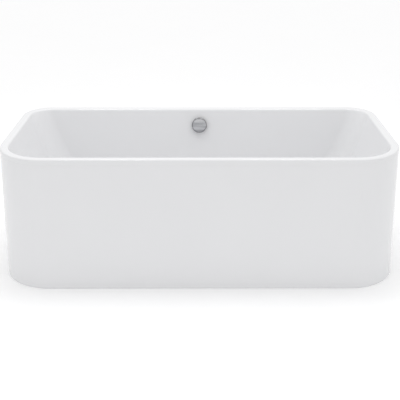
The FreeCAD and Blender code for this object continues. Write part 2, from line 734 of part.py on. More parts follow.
def make_overflow(basin):
    """Overflow cup, gasket, strainer, screws, and the knob with its spindle and spool."""
    gasket = ring(CUP_FLANGE, OVERFLOW_HOLE + 1, UP * -(ACRYLIC + GASKET_THICK), UP * -BEYOND)
    plate = rod(STRAINER_RADIUS, UP * -BEYOND, UP * STRAINER_THICK)
    openings = [rod(SPINDLE_RADIUS + RUNNING_GAP, UP * CUP_BACK, UP * KNOB_BACK)]
    for k in range(6):
        angle = math.radians(60 * k + 30)
        centre = Vector(math.cos(angle), math.sin(angle), 0) * STRAINER_HOLE_RING
        openings.append(rod(STRAINER_HOLE, centre - UP * KNOB_BACK, centre + UP * KNOB_BACK))
    screws = [
        pan_screw(Vector(side * OVERFLOW_SCREW_U, 0, STRAINER_THICK), -UP, OVERFLOW_SCREW_LENGTH)
        for side in (-1, 1)
    ]
    grub = rod(SCREW_RADIUS, Vector(0, -SPINDLE_RADIUS, GRUB_W), Vector(0, -HUB_RADIUS, GRUB_W))
    spindle = rod(SPINDLE_RADIUS, UP * SPOOL_FRONT, UP * SPINDLE_TOP)
    return {
        "overflow_gasket": to_wall(gasket).cut(basin),
        "overflow_body": to_wall(cut_all(make_overflow_body(), screws)),
        "overflow_strainer": to_wall(cut_all(plate, openings + screws)).cut(basin),
        "overflow_screws": to_wall(Part.makeCompound(screws)),
        "overflow_knob": to_wall(cut_all(make_knob(), [spindle, grub])),
        "knob_grub_screw": to_wall(grub),
        "knob_spindle": to_wall(spindle),
        "cable_spool": to_wall(make_spool()),
    }


# ---- Waste, plug and lift ----

def make_drain_flange():
    """Bright flange in the tub's floor, with a spoked guide for the plug's stem."""
    throat_bottom = NECK_TOP - THROAT_DEPTH
    flange = revolved(
        [
            (THROAT_BORE, throat_bottom),
            (THROAT_RADIUS, throat_bottom),
            (THROAT_RADIUS, FLOOR_Z),
            (DRAIN_FLANGE_RADIUS, FLOOR_Z),
            (DRAIN_FLANGE_RADIUS - DRAIN_FLANGE_EDGE / 2, PLUG_SEAT - DRAIN_FLANGE_EDGE),
            (DRAIN_FLANGE_RADIUS - DRAIN_FLANGE_EASE, PLUG_SEAT),
            (THROAT_BORE + DRAIN_SEAT_WIDTH, PLUG_SEAT),
            (THROAT_BORE, FLOOR_Z - DRAIN_SEAT_DROP),
        ],
        ORIGIN,
    )
    spoke_top = throat_bottom + SPOKE_HEIGHT
    pieces = [flange, rod(GUIDE_RADIUS, UP * throat_bottom, UP * spoke_top)]
    reach = (THROAT_BORE + THROAT_RADIUS) / 2
    for k in range(SPOKES):
        spoke = box_between(
            (-reach, -SPOKE_HALF_WIDTH, throat_bottom), (reach, SPOKE_HALF_WIDTH, spoke_top)
        )
        spoke.rotate(ORIGIN, UP, 180 * k / SPOKES)
        pieces.append(spoke)
    whole = fused(pieces).cut(rod(STEM_RADIUS + RUNNING_GAP, ORIGIN, UP * HEIGHT))
    whole.translate(at_waste(0, 0, 0))
    return whole


def make_plug():
    """Domed plug cap, its rubber seal and its stem, closed on the drain flange."""
    cap = [(radius, PLUG_SEAT + rise) for radius, rise in PLUG_OUTLINE]
    seal = [(radius, PLUG_SEAT + rise) for radius, rise in SEAL_OUTLINE]
    centre = at_waste(0, 0, 0)
    top = at_waste(0, 0, cap[0][1])
    stem = rod(STEM_RADIUS, at_waste(0, 0, STEM_BOTTOM), top)
    disc = rod(STEM_DISC, at_waste(0, 0, seal[0][1]), top)
    return {
        "plug_cap": revolved(cap, centre),
        "plug_seal": revolved(seal, centre),
        "plug_stem": fused([stem, disc]),
    }


def make_waste_body():
    """Cup under the floor with pipes to the trap and the overflow, and the cable's port."""
    top = at_waste(0, 0, NECK_TOP)
    neck_low = at_waste(0, 0, NECK_TOP - ACRYLIC)
    to_trap = at_waste(0, 0, LINK_Z)
    to_overflow = at_waste(0, 0, RETURN_Z)
    cable = at_waste(0, 0, CABLE_Z)
    outside = fused([
        rod(WASTE_FLANGE, neck_low, top),
        rod(WASTE_RADIUS, at_waste(0, 0, WASTE_BOTTOM), neck_low),
        rod(LINK_RADIUS, to_trap, to_trap + RIGHT * LINK_JOINT_X),
        rod(PIPE_RADIUS, to_overflow, to_overflow + BACK * RETURN_Y),
        rod(CABLE_PORT_RADIUS, cable, cable + RIGHT * (CABLE_SEAT_X - CABLE_PORT_LENGTH)),
    ])
    inner = WASTE_RADIUS - WASTE_WALL
    throat_low = at_waste(0, 0, NECK_TOP - THROAT_DEPTH - 1)
    end_x = CABLE_SEAT_X - CABLE_PORT_LENGTH - BEYOND
    hollows = [
        rod(inner, at_waste(0, 0, WASTE_BOTTOM + WASTE_WALL), throat_low),
        rod(THROAT_RADIUS, throat_low - UP, top + UP),
        rod(LINK_BORE, to_trap, to_trap + RIGHT * (LINK_JOINT_X + BEYOND)),
        rod(PIPE_BORE, to_overflow, to_overflow + BACK * (RETURN_Y + BEYOND)),
        rod(WIRE_RADIUS + RUNNING_GAP, cable, cable + RIGHT * end_x),
        rod(CABLE_RADIUS, cable + RIGHT * CABLE_SEAT_X, cable + RIGHT * end_x),
    ]
    return cut_all(outside, hollows)


def make_lever():
    """Bell crank: its long arm lifts the stem and its tail takes the cable's push."""
    half = LEVER_HALF_WIDTH
    across = BACK * half
    tip = RIGHT * LEVER_ARM
    arm_half = PIN_RADIUS
    lever = fused([
        rod(LEVER_HUB, -across, across),
        box_between((0, -half, -arm_half), (LEVER_ARM, half, arm_half)),
        rod(LEVER_TIP, tip - across, tip + across),
        box_between((-arm_half, -half, -LEVER_TAIL - arm_half), (arm_half, half, 0)),
    ])
    lever = lever.cut(rod(PIN_RADIUS + RUNNING_GAP, across * -2, across * 2))
    lever.rotate(ORIGIN, BACK, LEVER_SWING)
    lever.translate(at_waste(LEVER_PIVOT_X, 0, LEVER_PIVOT_Z))
    return lever


def make_lift():
    """Lever, its pin across the waste body, and the sliding end of the cable's wire."""
    inner = WASTE_RADIUS - WASTE_WALL
    pin_half = math.sqrt(inner**2 - LEVER_PIVOT_X**2) + 1
    pivot = at_waste(LEVER_PIVOT_X, 0, LEVER_PIVOT_Z)
    tail_shift = LEVER_TAIL * math.sin(math.radians(LEVER_SWING))
    face_x = LEVER_PIVOT_X - tail_shift - PIN_RADIUS - PUSH_GAP
    head_x = face_x - PUSH_HEAD_LENGTH
    cable = at_waste(0, 0, CABLE_Z)
    head = rod(PUSH_HEAD, cable + RIGHT * head_x, cable + RIGHT * face_x)
    wire = rod(WIRE_RADIUS, cable + RIGHT * (CABLE_SEAT_X - WIRE_TAIL), cable + RIGHT * face_x)
    return {
        "lift_lever": make_lever(),
        "lever_pin": rod(PIN_RADIUS, pivot - BACK * pin_half, pivot + BACK * pin_half),
        "cable_push_end": fused([head, wire]),
    }


# ---- Trap and pipes ----

def union_nut(middle, axis, inner, size):
    """Plastic nut over a butt joint, with grip ribs along it."""
    outer, half_length = size
    across = axis.cross(UP).normalize()
    around = axis.cross(across)
    reach = axis * half_length
    pieces = [rod(outer - NUT_RIB_RADIUS * 0.75, middle - reach, middle + reach)]
    for k in range(NUT_RIBS):
        angle = math.radians(360 * k / NUT_RIBS)
        outward = across * math.cos(angle) + around * math.sin(angle)
        rib = middle + outward * (outer - NUT_RIB_RADIUS)
        pieces.append(rod(NUT_RIB_RADIUS, rib - reach, rib + reach * 0.75))
    past = axis * (half_length + BEYOND)
    return fused(pieces).cut(rod(inner, middle - past, middle + past))


def make_trap():
    """Low trap: a cup with a baffle, and its cap with a seal and a grip."""
    def at_trap(z):
        return at_waste(TRAP_X, 0, z)

    inlet = at_waste(LINK_JOINT_X, 0, LINK_Z)
    outlet = at_waste(DRAIN_JOINT_X, 0, DRAIN_Z)
    inner = TRAP_RADIUS - TRAP_WALL
    outside = fused([
        rod(TRAP_RADIUS, at_trap(TRAP_BOTTOM), at_trap(TRAP_TOP)),
        rod(LINK_RADIUS, inlet, at_trap(LINK_Z)),
        rod(DRAIN_RADIUS, at_trap(DRAIN_Z), outlet),
    ])
    cup = cut_all(outside, [
        rod(inner, at_trap(TRAP_BOTTOM + TRAP_WALL), at_trap(TRAP_TOP + BEYOND)),
        rod(LINK_BORE, inlet - RIGHT * BEYOND, at_trap(LINK_Z) - RIGHT * (inner / 2)),
        rod(DRAIN_BORE, at_trap(DRAIN_Z), outlet + RIGHT * BEYOND),
    ])
    low = at_trap(TRAP_BAFFLE_BOTTOM) - Vector(TRAP_BAFFLE_HALF, TRAP_RADIUS, 0)
    high = at_trap(TRAP_TOP - TRAP_BAFFLE_GAP) + Vector(TRAP_BAFFLE_HALF, TRAP_RADIUS, 0)
    baffle = box_between(low, high).common(rod(inner + 1, at_trap(TRAP_BOTTOM), at_trap(TRAP_TOP)))
    disc_low = TRAP_TOP + TRAP_SEAL
    disc_top = disc_low + TRAP_CAP_THICK
    grip_low = at_trap(disc_top) - Vector(TRAP_GRIP * 3, TRAP_GRIP / 2, 0)
    grip_high = at_trap(disc_top + TRAP_GRIP) + Vector(TRAP_GRIP * 3, TRAP_GRIP / 2, 0)
    cap = fused([
        ring(TRAP_CAP_RADIUS, TRAP_RADIUS, at_trap(TRAP_TOP - TRAP_CAP_OVERLAP), at_trap(disc_low)),
        rod(TRAP_CAP_RADIUS, at_trap(disc_low), at_trap(disc_top)),
        box_between(grip_low, grip_high),
    ])
    return {
        "trap_body": fused([cup, baffle]),
        "trap_cap": cap,
        "trap_cap_seal": ring(TRAP_RADIUS, inner, at_trap(TRAP_TOP), at_trap(disc_low)),
    }


def make_drain_elbow():
    """Outlet pipe that turns from the trap down to the floor drain."""
    corner = at_waste(DRAIN_X, 0, DRAIN_Z)
    path = smooth_path(
        [at_waste(DRAIN_JOINT_X, 0, DRAIN_Z), corner, at_waste(DRAIN_X, 0, DRAIN_END_Z)], [DRAIN_BEND]
    )
    return swept_pipe(path, DRAIN_RADIUS, DRAIN_BORE)


def make_waste():
    """Everything between the hole in the basin's floor and the house drain."""
    under = at_waste(0, 0, SHELL_UNDER_Z)
    link = at_waste(LINK_JOINT_X, 0, LINK_Z)
    drain = at_waste(DRAIN_JOINT_X, 0, DRAIN_Z)
    overflow = at_waste(0, RETURN_Y, RETURN_Z)
    nodes = {
        "waste_gasket": ring(WASTE_FLANGE, WASTE_HOLE, at_waste(0, 0, NECK_TOP), under),
        "drain_flange": make_drain_flange(),
        "drain_elbow": make_drain_elbow(),
        "trap_inlet_nut": union_nut(link, RIGHT, LINK_RADIUS, LINK_NUT),
        "drain_elbow_nut": union_nut(drain, RIGHT, DRAIN_RADIUS, DRAIN_NUT),
        "pipe_lower_nut": union_nut(overflow, BACK, PIPE_RADIUS, LOWER_NUT),
    }
    nodes.update(make_plug())
    nodes.update(make_lift())
    nodes.update(make_trap())
    body = make_waste_body()
    nodes["waste_body"] = body.cut(nodes["lever_pin"])
    return nodes


def make_links():
    """Overflow pipe with its upper nut, and the cable's sheath."""
    pipe_top = at_wall(0, -SPIGOT_LENGTH, PIPE_W)
    corners = [Vector(*point) for point in PIPE_CORNERS]
    pipe_points = [pipe_top, at_wall(0, PIPE_FIRST_V, PIPE_W), *corners]
    pipe_points.append(at_waste(0, RETURN_Y, RETURN_Z))
    pipe_path = smooth_path(pipe_points, PIPE_BENDS)
    cable_points = [at_wall(u, CABLE_V, CABLE_W) for u in (CABLE_SEAT_U, CABLE_RUN_X)]
    cable_points += [Vector(*point) for point in CABLE_CORNERS]
    cable_points += [at_waste(x, 0, CABLE_Z) for x in (CABLE_RUN_X, CABLE_SEAT_X)]
    cable_path = smooth_path(cable_points, CABLE_BENDS)
    sheath = swept_rod(cable_path, CABLE_RADIUS)
    length = cable_path.Length
    ratio = sheath.Volume / (math.pi * CABLE_RADIUS**2 * length)
    print(f"cable sheath {length:.0f} mm, bends {CABLE_BENDS}, volume ratio {ratio:.4f}")
    end = at_waste(CABLE_SEAT_X, 0, CABLE_Z)
    wire_way = rod(WIRE_RADIUS + RUNNING_GAP, end - RIGHT * (WIRE_TAIL + 1), end + RIGHT)
    return {
        "overflow_pipe": swept_pipe(pipe_path, PIPE_RADIUS, PIPE_BORE),
        "pipe_upper_nut": union_nut(pipe_top, KNOB_UP, PIPE_RADIUS, UPPER_NUT),
        "cable_sheath": sheath.cut(wire_way),
    }


# ---- Output ----

def save(nodes):
    """Writes one STEP for each node and prints what each one is."""
    os.makedirs("parts", exist_ok=True)
    for name, shape in nodes.items():
        solids = shape.Solids
        whole = solids[0] if len(solids) == 1 else Part.makeCompound(solids)
        state = "ok" if solids and whole.isValid() else "BAD"
        print(f"{name:22s} {state} solids {len(solids)} volume {whole.Volume / 1000:.1f} cm3")
        whole.exportStep(f"parts/{name}.step")


def main():
    """Builds every node and writes it."""
    basin = make_basin()
    nodes = make_shells(basin)
    nodes.update(make_frame())
    nodes.update(make_feet())
    nodes.update(make_overflow(basin))
    nodes.update(make_waste())
    nodes.update(make_links())
    save(nodes)
    print(f"{len(nodes)} nodes")
    print(f"knob axis at {tuple(KNOB_CENTRE)} along {tuple(KNOB_AXIS)}")
    print(f"lever pivot at x {LEVER_PIVOT_X} z {LEVER_PIVOT_Z}")
    print(f"lever swing {LEVER_SWING:.3f} degrees each way")


main()
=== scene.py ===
import json
import math

import bmesh
import bpy
import numpy as np
from mathutils import Matrix, Vector


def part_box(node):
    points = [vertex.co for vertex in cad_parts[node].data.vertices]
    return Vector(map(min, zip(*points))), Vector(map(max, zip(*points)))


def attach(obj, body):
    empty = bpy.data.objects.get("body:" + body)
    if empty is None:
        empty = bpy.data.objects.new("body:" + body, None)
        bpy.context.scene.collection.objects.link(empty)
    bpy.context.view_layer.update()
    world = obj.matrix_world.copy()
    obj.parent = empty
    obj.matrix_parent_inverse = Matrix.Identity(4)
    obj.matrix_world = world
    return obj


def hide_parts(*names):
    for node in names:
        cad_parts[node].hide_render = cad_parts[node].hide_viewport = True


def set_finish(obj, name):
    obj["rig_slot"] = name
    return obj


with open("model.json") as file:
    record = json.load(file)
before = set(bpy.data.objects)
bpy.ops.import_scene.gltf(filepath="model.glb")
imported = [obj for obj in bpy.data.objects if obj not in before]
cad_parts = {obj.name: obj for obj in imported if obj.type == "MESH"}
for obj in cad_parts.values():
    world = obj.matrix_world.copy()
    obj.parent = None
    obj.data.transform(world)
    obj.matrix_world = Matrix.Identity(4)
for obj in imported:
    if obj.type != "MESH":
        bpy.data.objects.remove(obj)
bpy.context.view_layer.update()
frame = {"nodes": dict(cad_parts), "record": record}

# ---- Sizes, in metres ----
SKIRT_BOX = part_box("outer_skirt")
HALF_LENGTH = SKIRT_BOX[1].x
HALF_WIDTH = SKIRT_BOX[1].y
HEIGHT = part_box("basin_shell")[1].z
SEAM_Z = SKIRT_BOX[1].z
DRAFT = 0.008
FRONT_RADIUS = 0.215
BACK_RADIUS = 0.130
RIM_WIDTH = 0.036
OUTER_ROUND = 0.007
INNER_ROUND = 0.011
FOOT_ROUND = 0.003
ACRYLIC = 0.005
SEAM_EASE = 0.0004
BASIN_DEPTH = 0.460
WALL_START = 0.170
END_INSETS = (0.050, 0.180, 0.290)
SIDE_INSETS = (0.026, 0.066, 0.130)
FLOOR_CORNER = 0.120         # plan corners of the basin's floor
WASTE_HOLE = 0.026
OVERFLOW_HOLE = 0.025
OVERFLOW_CUT = (-0.03, 0.02)  # ends of the overflow hole's cut, along the knob's axis
SKIRT_INSIDE = (0.0, 0.1, 0.3, 0.5)  # heights of the rings on the skirt's inner face

MOUTH_X = HALF_LENGTH - DRAFT - RIM_WIDTH
MOUTH_Y = HALF_WIDTH - DRAFT - RIM_WIDTH
KNOB_TURN = next(j for j in frame["record"]["behaviour"]["joints"] if j["name"] == "knob_turn")
KNOB_CENTRE = Vector(KNOB_TURN["pos_m"])
KNOB_AXIS = Vector(KNOB_TURN["axis"]).normalized()
KNOB_RADIUS = 0.039
KNOB_EDGE = 0.004
KNOB_FACE = 0.020
KNOB_CROWN = 0.0016
KNOB_BACK = 0.009
KNOB_BACK_ROUND = 0.0005
KNOB_SIDE = (0.0155, 0.0125, 0.0096)  # heights of the rings on the straight side
KNOB_INSIDE = (                       # radius and height, from the back edge to the bore's end
    (0.0368, 0.009), (0.0365, 0.0093), (0.0365, 0.016), (0.036, 0.0165),
    (0.0105, 0.0165), (0.010, 0.016), (0.010, 0.0073), (0.0097, 0.007),
    (0.006, 0.007), (0.006, 0.017), (0, 0.017),
)
GRUB_HEIGHT = 0.012
GRUB_ENDS = (-0.0055, -0.012)         # ends of the grub screw's hole, from the knob's axis
GRUB_RADIUS = 0.00205

PLUG_DOME = 0.006
PLUG_SPREAD = (0.62, 1.0, 1.0)        # Bezier handles of the dome's radius
PLUG_FALL = (0.0, 0.30, 1.0)          # and of its drop
PLUG_EDGE = 0.0012
PLUG_EDGE_DROP = 0.0062
PLUG_UNDER = ((0.003, 0.0004), (0.0045, 0.0014))  # inset and height of the underside's edge

# ---- Mesh density ----
CORNER_STEPS = 32
LONG_STEPS = 40
SHORT_STEPS = 12
LIP_STEPS = 5
ROUND_STEPS = 9
RIM_STEPS = 6
INNER_STEPS = 12
WALL_STEPS = 84
UNDER_STEPS = 36
FLOOR_STEPS = 26
FLOOR_CROWDING = 1.4         # above 1 the rings lie closer together at the waste hole
SKIRT_STEPS = 24
FOOT_STEPS = 6
SEAM_GAP = 0.002             # from the seam to the next ring
ROUND_GAP = 0.0005           # from a rounding to the ring before it
LATHE_STEPS = 144
CROWN_STEPS = 16
DOME_STEPS = 24

# ---- Room, light and camera, in metres, watts and radians ----
DISC_RADII = (0.5, 1.5, 4.0, 12.0, 60.0)
DISC_STEPS = 96
DISC_Z = -0.0002
DISC_GLOW = 0.08
LAMPS = (("left", -0.6, 6.2), ("right", 0.6, 5.2))  # name, x and power
LAMP_HEIGHT = 2.2
LAMP_SIZE = 0.6
PICTURE_WIDTH = 400
SENSOR_WIDTH = 36
FOCAL_LENGTH = 728.9         # in picture pixels
CAMERA_SHIFT = -0.19
CAMERA_PLACE = (-0.00552, -3.27129, 1.69962)
CAMERA_PITCH = 0.31246
CAMERA_YAW = -0.00243


# ---- Shapes ----

def bezier(t, handles):
    """Cubic Bezier value at t for a curve that starts at 0."""
    first, second, last = handles
    return 3 * (1 - t) ** 2 * t * first + 3 * (1 - t) * t**2 * second + t**3 * last


def bezier_t(value, handles):
    """The t at which a rising curve reaches a value."""
    low, high = 0.0, 1.0
    for _ in range(50):
        middle = (low + high) / 2
        if bezier(middle, handles) < value:
            low = middle
        else:
            high = middle
    return low


def ring(half_x, half_y, front, back, z_end, z_side):
    """Points round a rounded rectangle; its height may differ between ends and sides."""
    points = []
    corners = ((1, 1, back), (-1, 1, back), (-1, -1, front), (1, -1, front))
    for quarter, (side_x, side_y, radius) in enumerate(corners):
        for k in range(CORNER_STEPS + 1):
            a = math.radians(90 * (quarter + k / CORNER_STEPS))
            c, s = math.cos(a), math.sin(a)
            x = side_x * (half_x - radius) + radius * c
            y = side_y * (half_y - radius) + radius * s
            points.append((x, y, z_end * c * c + z_side * s * s))
        next_x, next_y, next_radius = corners[(quarter + 1) % 4]
        a = math.radians(90 * (quarter + 1))
        x = next_x * (half_x - next_radius) + next_radius * math.cos(a)
        y = next_y * (half_y - next_radius) + next_radius * math.sin(a)
        start = points[-1]
        steps = SHORT_STEPS if quarter % 2 else LONG_STEPS
        for k in range(1, steps):
            f = k / steps
            points.append((start[0] + (x - start[0]) * f, start[1] + (y - start[1]) * f, start[2]))
    return np.array(points)


def wall_ring(z, inset):
    """Ring on the drafted outer face at a height, moved in by an inset."""
    shift = DRAFT * z / HEIGHT + inset
    return ring(
        HALF_LENGTH - shift, HALF_WIDTH - shift,
        FRONT_RADIUS + DRAFT - shift, BACK_RADIUS + DRAFT - shift, z, z,
    )


def rim_ring(inset, z):
    """Ring at rim height, moved in from the rim's outer edge by an inset."""
    return ring(
        MOUTH_X + RIM_WIDTH - inset, MOUTH_Y + RIM_WIDTH - inset,
        FRONT_RADIUS - inset, BACK_RADIUS - inset, z, z,
    )


def basin_ring(t_end, t_side, grow=0.0):
    """Ring on the basin's wall, grown outwards towards its back face."""
    depths = (WALL_START, BASIN_DEPTH + grow, BASIN_DEPTH + grow)
    t = (t_end + t_side) / 2
    out = grow * (1 - t**3)
    front = FRONT_RADIUS - RIM_WIDTH
    back = BACK_RADIUS - RIM_WIDTH
    return ring(
        MOUTH_X - bezier(t_end, END_INSETS) + out,
        MOUTH_Y - bezier(t_side, SIDE_INSETS) + out,
        front + (FLOOR_CORNER - front) * t + out,
        back + (FLOOR_CORNER - back) * t + out,
        HEIGHT - bezier(t_end, depths),
        HEIGHT - bezier(t_side, depths),
    )


def inner_round():
    """Rings of the rounded edge between the flat rim and the wall, and the t where it ends."""
    leans = [math.atan(insets[0] / WALL_START) for insets in (END_INSETS, SIDE_INSETS)]
    backs = [INNER_ROUND * (1 - math.sin(a)) / math.cos(a) for a in leans]
    depths = (WALL_START, BASIN_DEPTH, BASIN_DEPTH)
    ends = [bezier_t(INNER_ROUND * (1 - math.sin(a)), depths) for a in leans]
    t = sum(ends) / 2
    mean_back = sum(backs) / 2
    rings = []
    for k in range(INNER_STEPS):
        f = k / INNER_STEPS
        turns = [math.pi / 2 + (a - math.pi / 2) * f for a in leans]
        inward = [INNER_ROUND * math.cos(p) - b for p, b in zip(turns, backs)]
        z = [HEIGHT - INNER_ROUND + INNER_ROUND * math.sin(p) for p in turns]
        radii = []
        for outer in (FRONT_RADIUS, BACK_RADIUS):
            mouth = outer - RIM_WIDTH
            last = mouth + (FLOOR_CORNER - mouth) * t
            share = (sum(inward) / 2 + mean_back) / (bezier(t, SIDE_INSETS) + mean_back)
            radii.append(mouth + mean_back + (last - mouth - mean_back) * min(share, 1.0))
        rings.append(ring(MOUTH_X - inward[0], MOUTH_Y - inward[1], *radii, *z))
    return rings, ends


def basin_rings():
    """Closed stack of rings: lip, rim, wetted face, waste hole, and back up the other side."""
    rings = [wall_ring(SEAM_Z, SEAM_EASE), wall_ring(SEAM_Z + SEAM_EASE, 0)]
    round_low = HEIGHT - OUTER_ROUND
    rings += [wall_ring(z, 0) for z in np.linspace(SEAM_Z + SEAM_GAP, round_low - ROUND_GAP, LIP_STEPS)]
    rings += [wall_ring(round_low, 0)]
    for k in range(1, ROUND_STEPS):
        a = math.pi / 2 * k / ROUND_STEPS
        rings.append(rim_ring(OUTER_ROUND * (1 - math.cos(a)), round_low + OUTER_ROUND * math.sin(a)))
    rounded, ends = inner_round()
    flat_end = RIM_WIDTH - INNER_ROUND
    rings += [rim_ring(inset, HEIGHT) for inset in np.linspace(OUTER_ROUND, flat_end, RIM_STEPS)]
    rings += rounded
    for k in range(WALL_STEPS + 1):
        f = k / WALL_STEPS
        rings.append(basin_ring(ends[0] + (1 - ends[0]) * f, ends[1] + (1 - ends[1]) * f))
    rings += floor_rings(rings[-1], 1)
    under = basin_ring(1, 1, ACRYLIC)
    rings += floor_rings(under, -1)
    start = bezier_t(ACRYLIC, (WALL_START, BASIN_DEPTH + ACRYLIC, BASIN_DEPTH + ACRYLIC))
    for k in range(1, UNDER_STEPS + 1):
        t = 1 - (1 - start) * k / UNDER_STEPS
        rings.append(basin_ring(t, t, ACRYLIC))
    low = HEIGHT - ACRYLIC
    rings += [wall_ring(low, ACRYLIC), wall_ring(SEAM_Z, ACRYLIC)]
    return rings


def floor_rings(outer, way):
    """Flat rings between a floor outline and the waste hole: inwards, or outwards at -1."""
    angles = np.arctan2(outer[:, 1], outer[:, 0])
    hole = np.stack([np.cos(angles) * WASTE_HOLE, np.sin(angles) * WASTE_HOLE, outer[:, 2]], 1)
    shares = [1 - (1 - k / FLOOR_STEPS) ** FLOOR_CROWDING for k in range(1, FLOOR_STEPS + 1)]
    rings = [outer + (hole - outer) * f for f in shares]
    return rings if way > 0 else rings[::-1] + [outer]


def skirt_rings():
    """Closed stack of rings for the skirt: outer face, rounded foot and inner face."""
    rings = [wall_ring(SEAM_Z, SEAM_EASE), wall_ring(SEAM_Z - SEAM_EASE, 0)]
    heights = np.linspace(SEAM_Z - SEAM_GAP, FOOT_ROUND + 2 * ROUND_GAP, SKIRT_STEPS)
    rings += [wall_ring(z, 0) for z in heights]
    for k in range(FOOT_STEPS + 1):
        a = math.pi / 2 * k / FOOT_STEPS
        inset = FOOT_ROUND * (1 - math.cos(a))
        rings.append(wall_ring(FOOT_ROUND * (1 - math.sin(a)), inset))
    rings += [wall_ring(z, ACRYLIC) for z in (*SKIRT_INSIDE, SEAM_Z)]
    return rings


def new_piece(name, bm, body, stands_for, slot, sharp=40):
    """Object from a bmesh, riding a body and standing for CAD nodes."""
    bmesh.ops.recalc_face_normals(bm, faces=bm.faces)
    mesh = bpy.data.meshes.new(name)
    bm.to_mesh(mesh)
    bm.free()
    mesh.polygons.foreach_set("use_smooth", [True] * len(mesh.polygons))
    mesh.set_sharp_from_angle(angle=math.radians(sharp))
    piece = bpy.data.objects.new(name, mesh)
    bpy.context.scene.collection.objects.link(piece)
    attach(piece, body)
    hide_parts(*stands_for)
    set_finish(piece, slot)
    return piece


def stacked(rings):
    """Closed bmesh from a loop of rings with the same number of points."""
    bm = bmesh.new()
    grid = [[bm.verts.new(p) for p in points] for points in rings]
    count = len(grid[0])
    for lower, upper in zip(grid, grid[1:] + grid[:1]):
        for k in range(count):
            n = (k + 1) % count
            bm.faces.new((lower[k], lower[n], upper[n], upper[k]))
    return bm


def lathe(profile, place):
    """Closed solid of revolution from (radius, height) points that start and end on the axis."""
    bm = bmesh.new()
    first = bm.verts.new(place @ Vector((0, 0, profile[0][1])))
    last = bm.verts.new(place @ Vector((0, 0, profile[-1][1])))
    rows = []
    for radius, height in profile[1:-1]:
        row = []
        for k in range(LATHE_STEPS):
            a = 2 * math.pi * k / LATHE_STEPS
            point = Vector((radius * math.cos(a), radius * math.sin(a), height))
            row.append(bm.verts.new(place @ point))
        rows.append(row)
    for k in range(LATHE_STEPS):
        n = (k + 1) % LATHE_STEPS
        bm.faces.new((first, rows[0][k], rows[0][n]))
        bm.faces.new((last, rows[-1][n], rows[-1][k]))
        for upper, lower in zip(rows, rows[1:]):
            bm.faces.new((upper[k], lower[k], lower[n], upper[n]))
    return bm


def rod(start, end, radius, steps=96):
    """Closed bmesh cylinder between two points, used for cutting holes."""
    axis = end - start
    bm = bmesh.new()
    turn = axis.to_track_quat("Z", "Y").to_matrix().to_4x4()
    place = Matrix.Translation((start + end) / 2) @ turn
    bmesh.ops.create_cone(
        bm, cap_ends=True, segments=steps, radius1=radius, radius2=radius,
        depth=axis.length, matrix=place,
    )
    return bm


def carved(bm, cutter):
    """The first bmesh with the second taken out of it."""
    objects = []
    for part in (bm, cutter):
        bmesh.ops.recalc_face_normals(part, faces=part.faces)
        mesh = bpy.data.meshes.new("work")
        part.to_mesh(mesh)
        part.free()
        item = bpy.data.objects.new("work", mesh)
        bpy.context.scene.collection.objects.link(item)
        objects.append(item)
    target, tool = objects
    modifier = target.modifiers.new("cut", "BOOLEAN")
    modifier.operation = "DIFFERENCE"
    modifier.solver = "EXACT"
    modifier.object = tool
    shape = target.evaluated_get(bpy.context.evaluated_depsgraph_get())
    result = bmesh.new()
    result.from_mesh(shape.to_mesh())
    shape.to_mesh_clear()
    for item in objects:
        mesh = item.data
        bpy.data.objects.remove(item)
        bpy.data.meshes.remove(mesh)
    return result


def arc(centre, radius, start, end, steps):
    """(radius, height) points on a circular arc, angles in degrees from the radius direction."""
    points = []
    for k in range(steps + 1):
        a = math.radians(start + (end - start) * k / steps)
        points.append((centre[0] + radius * math.cos(a), centre[1] + radius * math.sin(a)))
    return points


# ---- Pieces ----

def knob_place():
    """Matrix from the knob's own frame, with its axis as Z, to the tub."""
    right = Vector((1, 0, 0))
    up = KNOB_AXIS.cross(right)
    matrix = Matrix((right, up, KNOB_AXIS)).transposed().to_4x4()
    return Matrix.Translation(KNOB_CENTRE) @ matrix


def make_knob():
    """Crowned round knob with a soft edge, a hollow back and a bored hub."""
    bend = KNOB_RADIUS - KNOB_EDGE
    profile = [(0, KNOB_FACE + KNOB_CROWN)]
    for k in range(1, CROWN_STEPS + 1):
        r = bend * k / CROWN_STEPS
        profile.append((r, KNOB_FACE + KNOB_CROWN * (1 - (r / bend) ** 2)))
    profile += arc((bend, KNOB_FACE - KNOB_EDGE), KNOB_EDGE, 84, 0, 12)
    profile += [(KNOB_RADIUS, z) for z in KNOB_SIDE]
    back = (KNOB_RADIUS - KNOB_BACK_ROUND, KNOB_BACK + KNOB_BACK_ROUND)
    profile += arc(back, KNOB_BACK_ROUND, 0, -90, 4)
    profile += KNOB_INSIDE
    place = knob_place()
    hole_start, hole_end = (place @ Vector((0, y, GRUB_HEIGHT)) for y in GRUB_ENDS)
    knob = carved(lathe(profile, place), rod(hole_start, hole_end, GRUB_RADIUS, 32))
    return new_piece("knob_body", knob, "knob", ["overflow_knob"], "chrome_trim", 30)


def make_plug():
    """Domed plug cap with a rolled edge."""
    low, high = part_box("plug_cap")
    radius = (high.x - low.x) / 2
    centre = (low + high) / 2
    profile = [(0, high.z)]
    for k in range(1, DOME_STEPS + 1):
        t = k / DOME_STEPS
        profile.append((radius * bezier(t, PLUG_SPREAD), high.z - PLUG_DOME * bezier(t, PLUG_FALL)))
    profile += arc((radius - PLUG_EDGE, high.z - PLUG_EDGE_DROP), PLUG_EDGE, -8, -100, 6)
    profile += [(radius - inset, low.z + rise) for inset, rise in PLUG_UNDER]
    profile += [(0, profile[-1][1])]
    place = Matrix.Translation((centre.x, centre.y, 0))
    return new_piece("plug_cap_body", lathe(profile, place), "plug", ["plug_cap"], "chrome_trim", 30)


